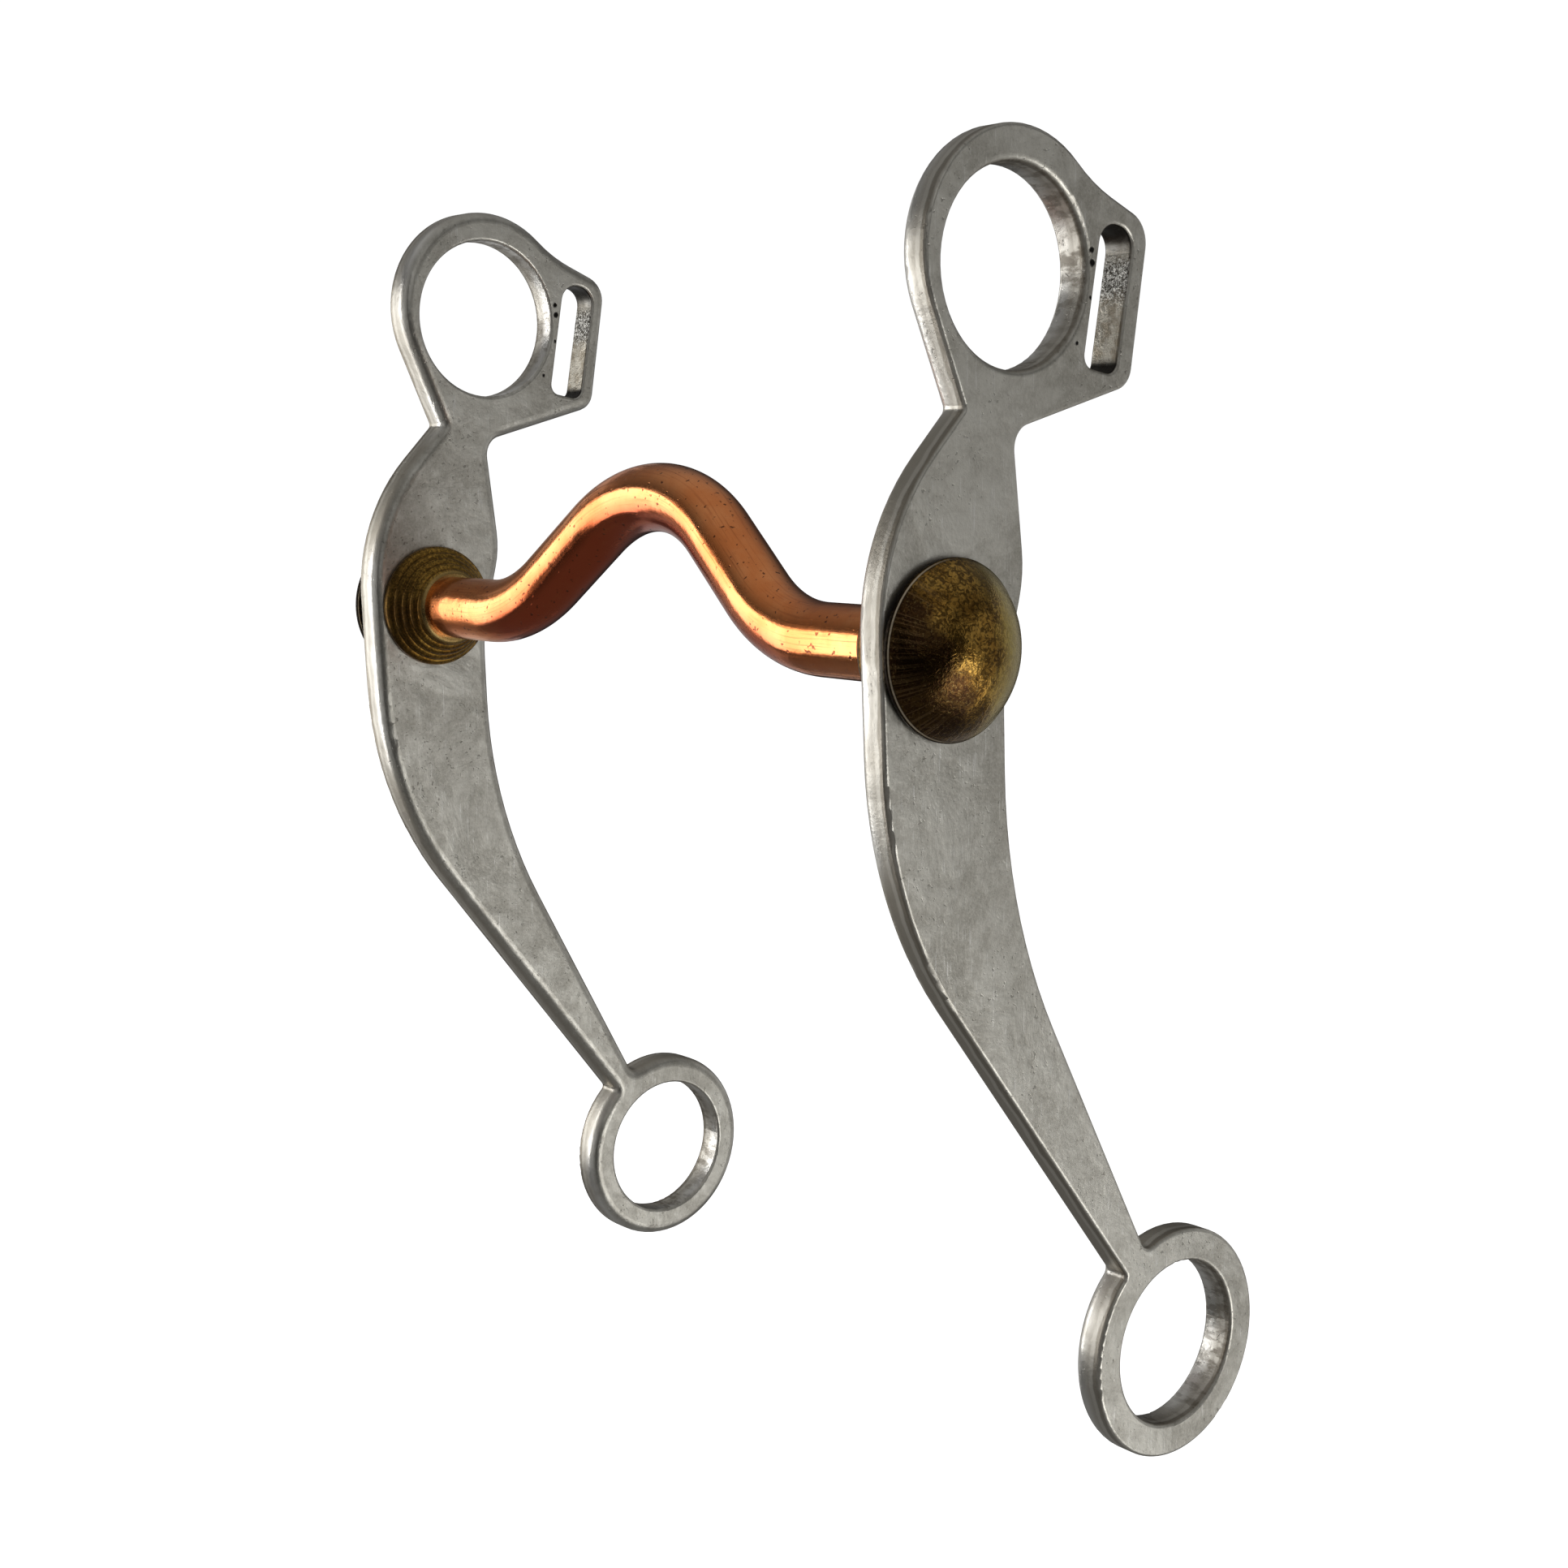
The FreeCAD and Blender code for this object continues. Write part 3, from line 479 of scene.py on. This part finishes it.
def turned_brass():
    """The turned collars and washers: dark brass with fine rings, with painted light on the upper side and
    painted black shade in front.
    """
    g = Graph("turned_brass")
    place, out, back, up, along = turned_coords(g)
    mouth_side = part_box("left_collar")[0].x
    clouds = g.noise(place, 5 * MM, detail=4.0, roughness=0.6)
    worms = g.noise(place, 0.6 * MM, detail=2.0, roughness=0.6, distortion=1.2)
    cut = g.node("ShaderNodeCombineXYZ", {"X": along, "Y": out}).outputs["Vector"]
    rings = g.noise(cut, 0.25 * MM, detail=2.0, roughness=0.6)

    patina = g.mix(g.spread(clouds, 0.35, 0.65), (0.24, 0.115, 0.020, 1), (0.40, 0.23, 0.045, 1))
    # Painted light: the collar is painted lighter towards the top.
    patina = g.mix(g.spread(up, -2 * MM, 9 * MM, 0.0, 0.6), patina, (0.66, 0.39, 0.08, 1))
    # Painted shade: the front side (towards -Y) is painted near black.
    patina = g.mix(g.spread(back, -9 * MM, -2 * MM, 0.7, 0.0), patina, (0.06, 0.030, 0.010, 1))
    patina = g.mix(g.spread(worms, 0.42, 0.62, 0.65, 0.0), patina, (0.030, 0.016, 0.005, 1))
    grooves = g.spread(rings, 0.48, 0.60)
    patina = g.mix(g.math("MULTIPLY", grooves, 0.35), patina, (0.025, 0.014, 0.005, 1))
    bright_lip_and_painted_highlight = g.spread(along, mouth_side + 0.1 * MM, mouth_side + 0.5 * MM, 1.0, 0.0)
    patina = g.mix(g.math("MULTIPLY", bright_lip_and_painted_highlight, 0.7), patina, (0.50, 0.34, 0.13, 1))
    satin = g.math("ADD", g.spread(worms, 0.3, 0.7, 0.42, 0.30), g.math("MULTIPLY", bright_lip_and_painted_highlight, -0.08))
    g.set(base_color=patina, metallic=1.0, roughness=satin)
    relief = g.bump(clouds, 0.05 * MM)
    relief = g.bump(worms, 0.02 * MM, relief)
    relief = g.bump(grooves, 0.004 * MM, relief)
    g.set(normal=relief)
    return g.material


def turned_steel():
    """The pivot pins, turned to size."""
    g = Graph("turned_steel")
    place = g.place()
    rings = g.noise(g.stretched(place, (1, 0.02, 0.02)), 0.25 * MM, detail=2.0)
    stain = g.noise(place, 3 * MM, detail=3.0)
    g.set(base_color=g.mix(g.spread(stain, 0.4, 0.65), (0.58, 0.57, 0.55, 1), (0.40, 0.38, 0.35, 1)))
    g.set(metallic=1.0, roughness=g.spread(rings, 0.3, 0.7, 0.28, 0.42), normal=g.bump(rings, 0.01 * MM))
    return g.material


def paint_nodes():
    """Gives each CAD node its metal."""
    steel = cast_steel()
    domed = domed_brass()
    turned = turned_brass()
    pin = turned_steel()
    metals = {"shank": steel, "dome_cap": domed, "collar": turned, "dome_washer": turned, "pivot_pin": pin}
    for name, node in frame["nodes"].items():
        for ending, metal in metals.items():
            if name.endswith(ending):
                for slot in node.material_slots:
                    slot.material = metal


# ---------------------------------------------------------------- mouthpiece bar

BAR_SIDES = 72
BAR_STEP = 0.5 * MM
SHARP_ANGLE = math.radians(40)
PORT_FOOT_RADIUS = 27.45 * MM
PORT_CROWN_RADIUS = 25.89 * MM
PORT_SLOPE = math.radians(38.05)
PORT_SIDE = 14.2 * MM
PORT_LEAN = math.radians(9.66)
PIN_GAP = 0.05 * MM


def bar_line(half_length):
    """Points of the bar's middle line with their headings, from its right end to its left end."""
    bends = (PORT_FOOT_RADIUS + PORT_CROWN_RADIUS) * math.sin(PORT_SLOPE)
    straight_end = half_length - bends - PORT_SIDE * math.cos(PORT_SLOPE)
    moves = [
        (straight_end, 0.0),
        (PORT_FOOT_RADIUS, PORT_SLOPE),
        (PORT_SIDE, 0.0),
        (PORT_CROWN_RADIUS, -2 * PORT_SLOPE),
        (PORT_SIDE, 0.0),
        (PORT_FOOT_RADIUS, PORT_SLOPE),
        (straight_end, 0.0),
    ]
    x, z, heading = -half_length, 0.0, 0.0
    line = [(x, z, heading)]
    for size, turn in moves:
        length = size if turn == 0 else size * abs(turn)
        steps = max(2, round(length / BAR_STEP))
        for _ in range(steps):
            heading += turn / steps / 2
            x += length / steps * math.cos(heading)
            z += length / steps * math.sin(heading)
            heading += turn / steps / 2
            line.append((x, z, heading))
    return line


def make_bar(material):
    """The copper bar, swept along its port and bored at each end for a pivot pin."""
    low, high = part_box("mouthpiece_bar")
    pin_low, pin_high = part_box("left_pivot_pin")
    radius = -low.z
    bore = (pin_high.z - pin_low.z) / 2 + PIN_GAP
    bore_foot = pin_low.x - PIN_GAP
    line = bar_line(high.x)
    first, last = line[0], line[-1]
    rings = [((-bore_foot, 0.0, 0.0), bore), ((first[0], 0.0, 0.0), bore)]
    rings += [(point, radius) for point in line]
    rings += [((last[0], 0.0, 0.0), bore), ((bore_foot, 0.0, 0.0), bore)]
    vertices, grain = [], []
    travelled, before = 0.0, rings[0][0]
    for (x, z, heading), size in rings:
        travelled += math.hypot(x - before[0], z - before[1])
        before = (x, z, heading)
        for i in range(BAR_SIDES):
            angle = 2 * math.pi * i / BAR_SIDES
            out, aside = size * math.cos(angle), size * math.sin(angle)
            upward = z + out * math.cos(heading)
            tilt = (math.sin(PORT_LEAN), math.cos(PORT_LEAN))
            vertices.append((
                x - out * math.sin(heading),
                upward * tilt[0] + aside * tilt[1],
                upward * tilt[1] - aside * tilt[0],
            ))
            grain.append((travelled, out, aside))
    faces = []
    for r in range(len(rings) - 1):
        here, ahead = r * BAR_SIDES, (r + 1) * BAR_SIDES
        for i in range(BAR_SIDES):
            j = (i + 1) % BAR_SIDES
            faces.append((here + i, here + j, ahead + j, ahead + i))
    last_ring = (len(rings) - 1) * BAR_SIDES
    faces.append(tuple(reversed(range(BAR_SIDES))))
    faces.append(tuple(range(last_ring, last_ring + BAR_SIDES)))
    mesh = bpy.data.meshes.new("copper_bar")
    mesh.from_pydata(vertices, [], faces)
    attribute = mesh.attributes.new("grain", "FLOAT_VECTOR", "POINT")
    attribute.data.foreach_set("vector", [value for point in grain for value in point])
    mesh.materials.append(material)
    mesh.shade_smooth()
    mesh.set_sharp_from_angle(angle=SHARP_ANGLE)
    bar = bpy.data.objects.new("copper_bar", mesh)
    bpy.context.scene.collection.objects.link(bar)
    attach(bar, "mouthpiece")
    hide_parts("mouthpiece_bar")


# ---------------------------------------------------------------- studio

# Name, azimuth and elevation in degrees, distance, width and height in metres, brightness.
SOFTBOXES = [
    ("window", -50, -3, 0.41, 0.22, 0.35, 3.5),
    ("side", 104, -22, 1.0, 0.42, 0.50, 2.3),
    ("back", 126, -5, 1.2, 1.0, 1.4, 0.28),
    ("far_back", 176, -5, 1.3, 1.1, 1.4, 0.42),
    ("front", 8, 0, 1.2, 0.9, 1.2, 0.35),
    ("far_side", 262, -4, 1.2, 1.1, 1.4, 0.38),
    ("high_front", 68, 24, 1.0, 0.7, 0.8, 0.28),
    ("low_back", 112, -38, 1.0, 0.9, 0.5, 0.9),
]

# The room's brightness at heights from 0, straight down, to 1, straight up.
ROOM_BRIGHTNESS = [(0.10, 0.18), (0.35, 0.03), (0.62, 0.035), (1.0, 0.34)]


def stage_mesh(name, vertices, faces, material):
    mesh = bpy.data.meshes.new(name)
    mesh.from_pydata(vertices, [], faces)
    mesh.materials.append(material)
    made = bpy.data.objects.new(name, mesh)
    bpy.context.scene.collection.objects.link(made)
    return made


def make_floor():
    """A plain white floor, and a plain white wall far behind it all the way round."""
    floor_z = -rein_ring_reach() - FLOOR_GAP
    paper = Graph("white_paper")
    paper.set(base_color=grey(0.8), roughness=0.9, emission_color=grey(1.0), emission_strength=0.97)
    reach = BACKDROP_RADIUS
    signs = ((-1, -1), (1, -1), (1, 1), (-1, 1))
    corners = [(x * reach, y * reach, floor_z) for x, y in signs]
    floor = stage_mesh("floor", corners, [(0, 1, 2, 3)], paper.material)
    floor.visible_glossy = False
    floor.visible_shadow = False
    wall_paper = Graph("white_wall")
    wall_paper.set(base_color=grey(0.0), emission_color=grey(1.0), emission_strength=1.05)
    sides = BACKDROP_SIDES
    turns = [2 * math.pi * i / sides for i in range(sides)]
    low = [(reach * math.cos(t), reach * math.sin(t), floor_z) for t in turns]
    high = [(x, y, reach) for x, y, _ in low]
    faces = [(i, (i + 1) % sides, sides + (i + 1) % sides, sides + i) for i in range(sides)]
    wall = stage_mesh("wall", low + high, faces, wall_paper.material)
    for ray in ("diffuse", "glossy", "shadow", "transmission", "volume_scatter"):
        setattr(wall, "visible_" + ray, False)


def rein_ring_reach():
    """How far a rein ring reaches from the pivot axis, at most, for its box's corner is empty."""
    low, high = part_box("left_shank")
    return math.hypot(low.z, high.y) * RING_IN_BOX


def add_softbox(name, azimuth, elevation, distance, width, height, brightness):
    """A soft light facing the object. Its brightness is that of a white paper in its place."""
    light = bpy.data.lights.new(name, "AREA")
    light.shape = "RECTANGLE"
    light.size = width
    light.size_y = height
    light.energy = brightness * math.pi * width * height
    made = bpy.data.objects.new(name, light)
    made.location = look_direction(azimuth, elevation) * distance
    made.rotation_mode = "QUATERNION"
    made.rotation_quaternion = made.location.to_track_quat("Z", "Y")
    made.visible_camera = False
    bpy.context.scene.collection.objects.link(made)


def room_light():
    """A dim room: brightest overhead, darkest level with the object."""
    world = bpy.data.worlds.new("room")
    bpy.context.scene.world = world
    world.use_nodes = True
    nodes, links = world.node_tree.nodes, world.node_tree.links
    split = nodes.new("ShaderNodeSeparateXYZ")
    links.new(nodes.new("ShaderNodeTexCoord").outputs["Generated"], split.inputs["Vector"])
    brightness = nodes.new("ShaderNodeValToRGB")
    brightness.color_ramp.interpolation = "EASE"
    stops = brightness.color_ramp.elements
    lowest, *between, highest = ROOM_BRIGHTNESS
    for stop, (position, value) in zip(stops, (lowest, highest)):
        stop.position, stop.color = position, grey(value)
    for position, value in between:
        stops.new(position).color = grey(value)
    upward = nodes.new("ShaderNodeMapRange")
    upward.inputs["From Min"].default_value = -1.0
    links.new(split.outputs["Z"], upward.inputs["Value"])
    links.new(upward.outputs["Result"], brightness.inputs["Fac"])
    links.new(brightness.outputs["Color"], nodes["Background"].inputs["Color"])


def light_studio():
    """The window that the metal mirrors, and dim softboxes all round."""
    room_light()
    for softbox in SOFTBOXES:
        add_softbox(*softbox)


def add_camera():
    """The camera at the photograph's viewing angle."""
    back = look_direction(CAMERA_AZIMUTH, CAMERA_ELEVATION)
    right = Vector((0, 0, 1)).cross(back).normalized()
    up = back.cross(right)
    camera = bpy.data.objects.new("camera", bpy.data.cameras.new("camera"))
    bpy.context.scene.collection.objects.link(camera)
    aim = middle_of(cad_box) + right * CAMERA_ASIDE + up * CAMERA_ABOVE
    camera.location = aim + back * CAMERA_DISTANCE
    camera.rotation_mode = "QUATERNION"
    camera.rotation_quaternion = back.to_track_quat("Z", "Y")
    camera.data.sensor_width = SENSOR
    camera.data.lens = LENS
    camera.data.clip_start = 0.01
    bpy.context.scene.camera = camera


paint_nodes()
make_bar(copper())
make_floor()
light_studio()
add_camera()
bpy.context.scene.view_settings.view_transform = "Standard"
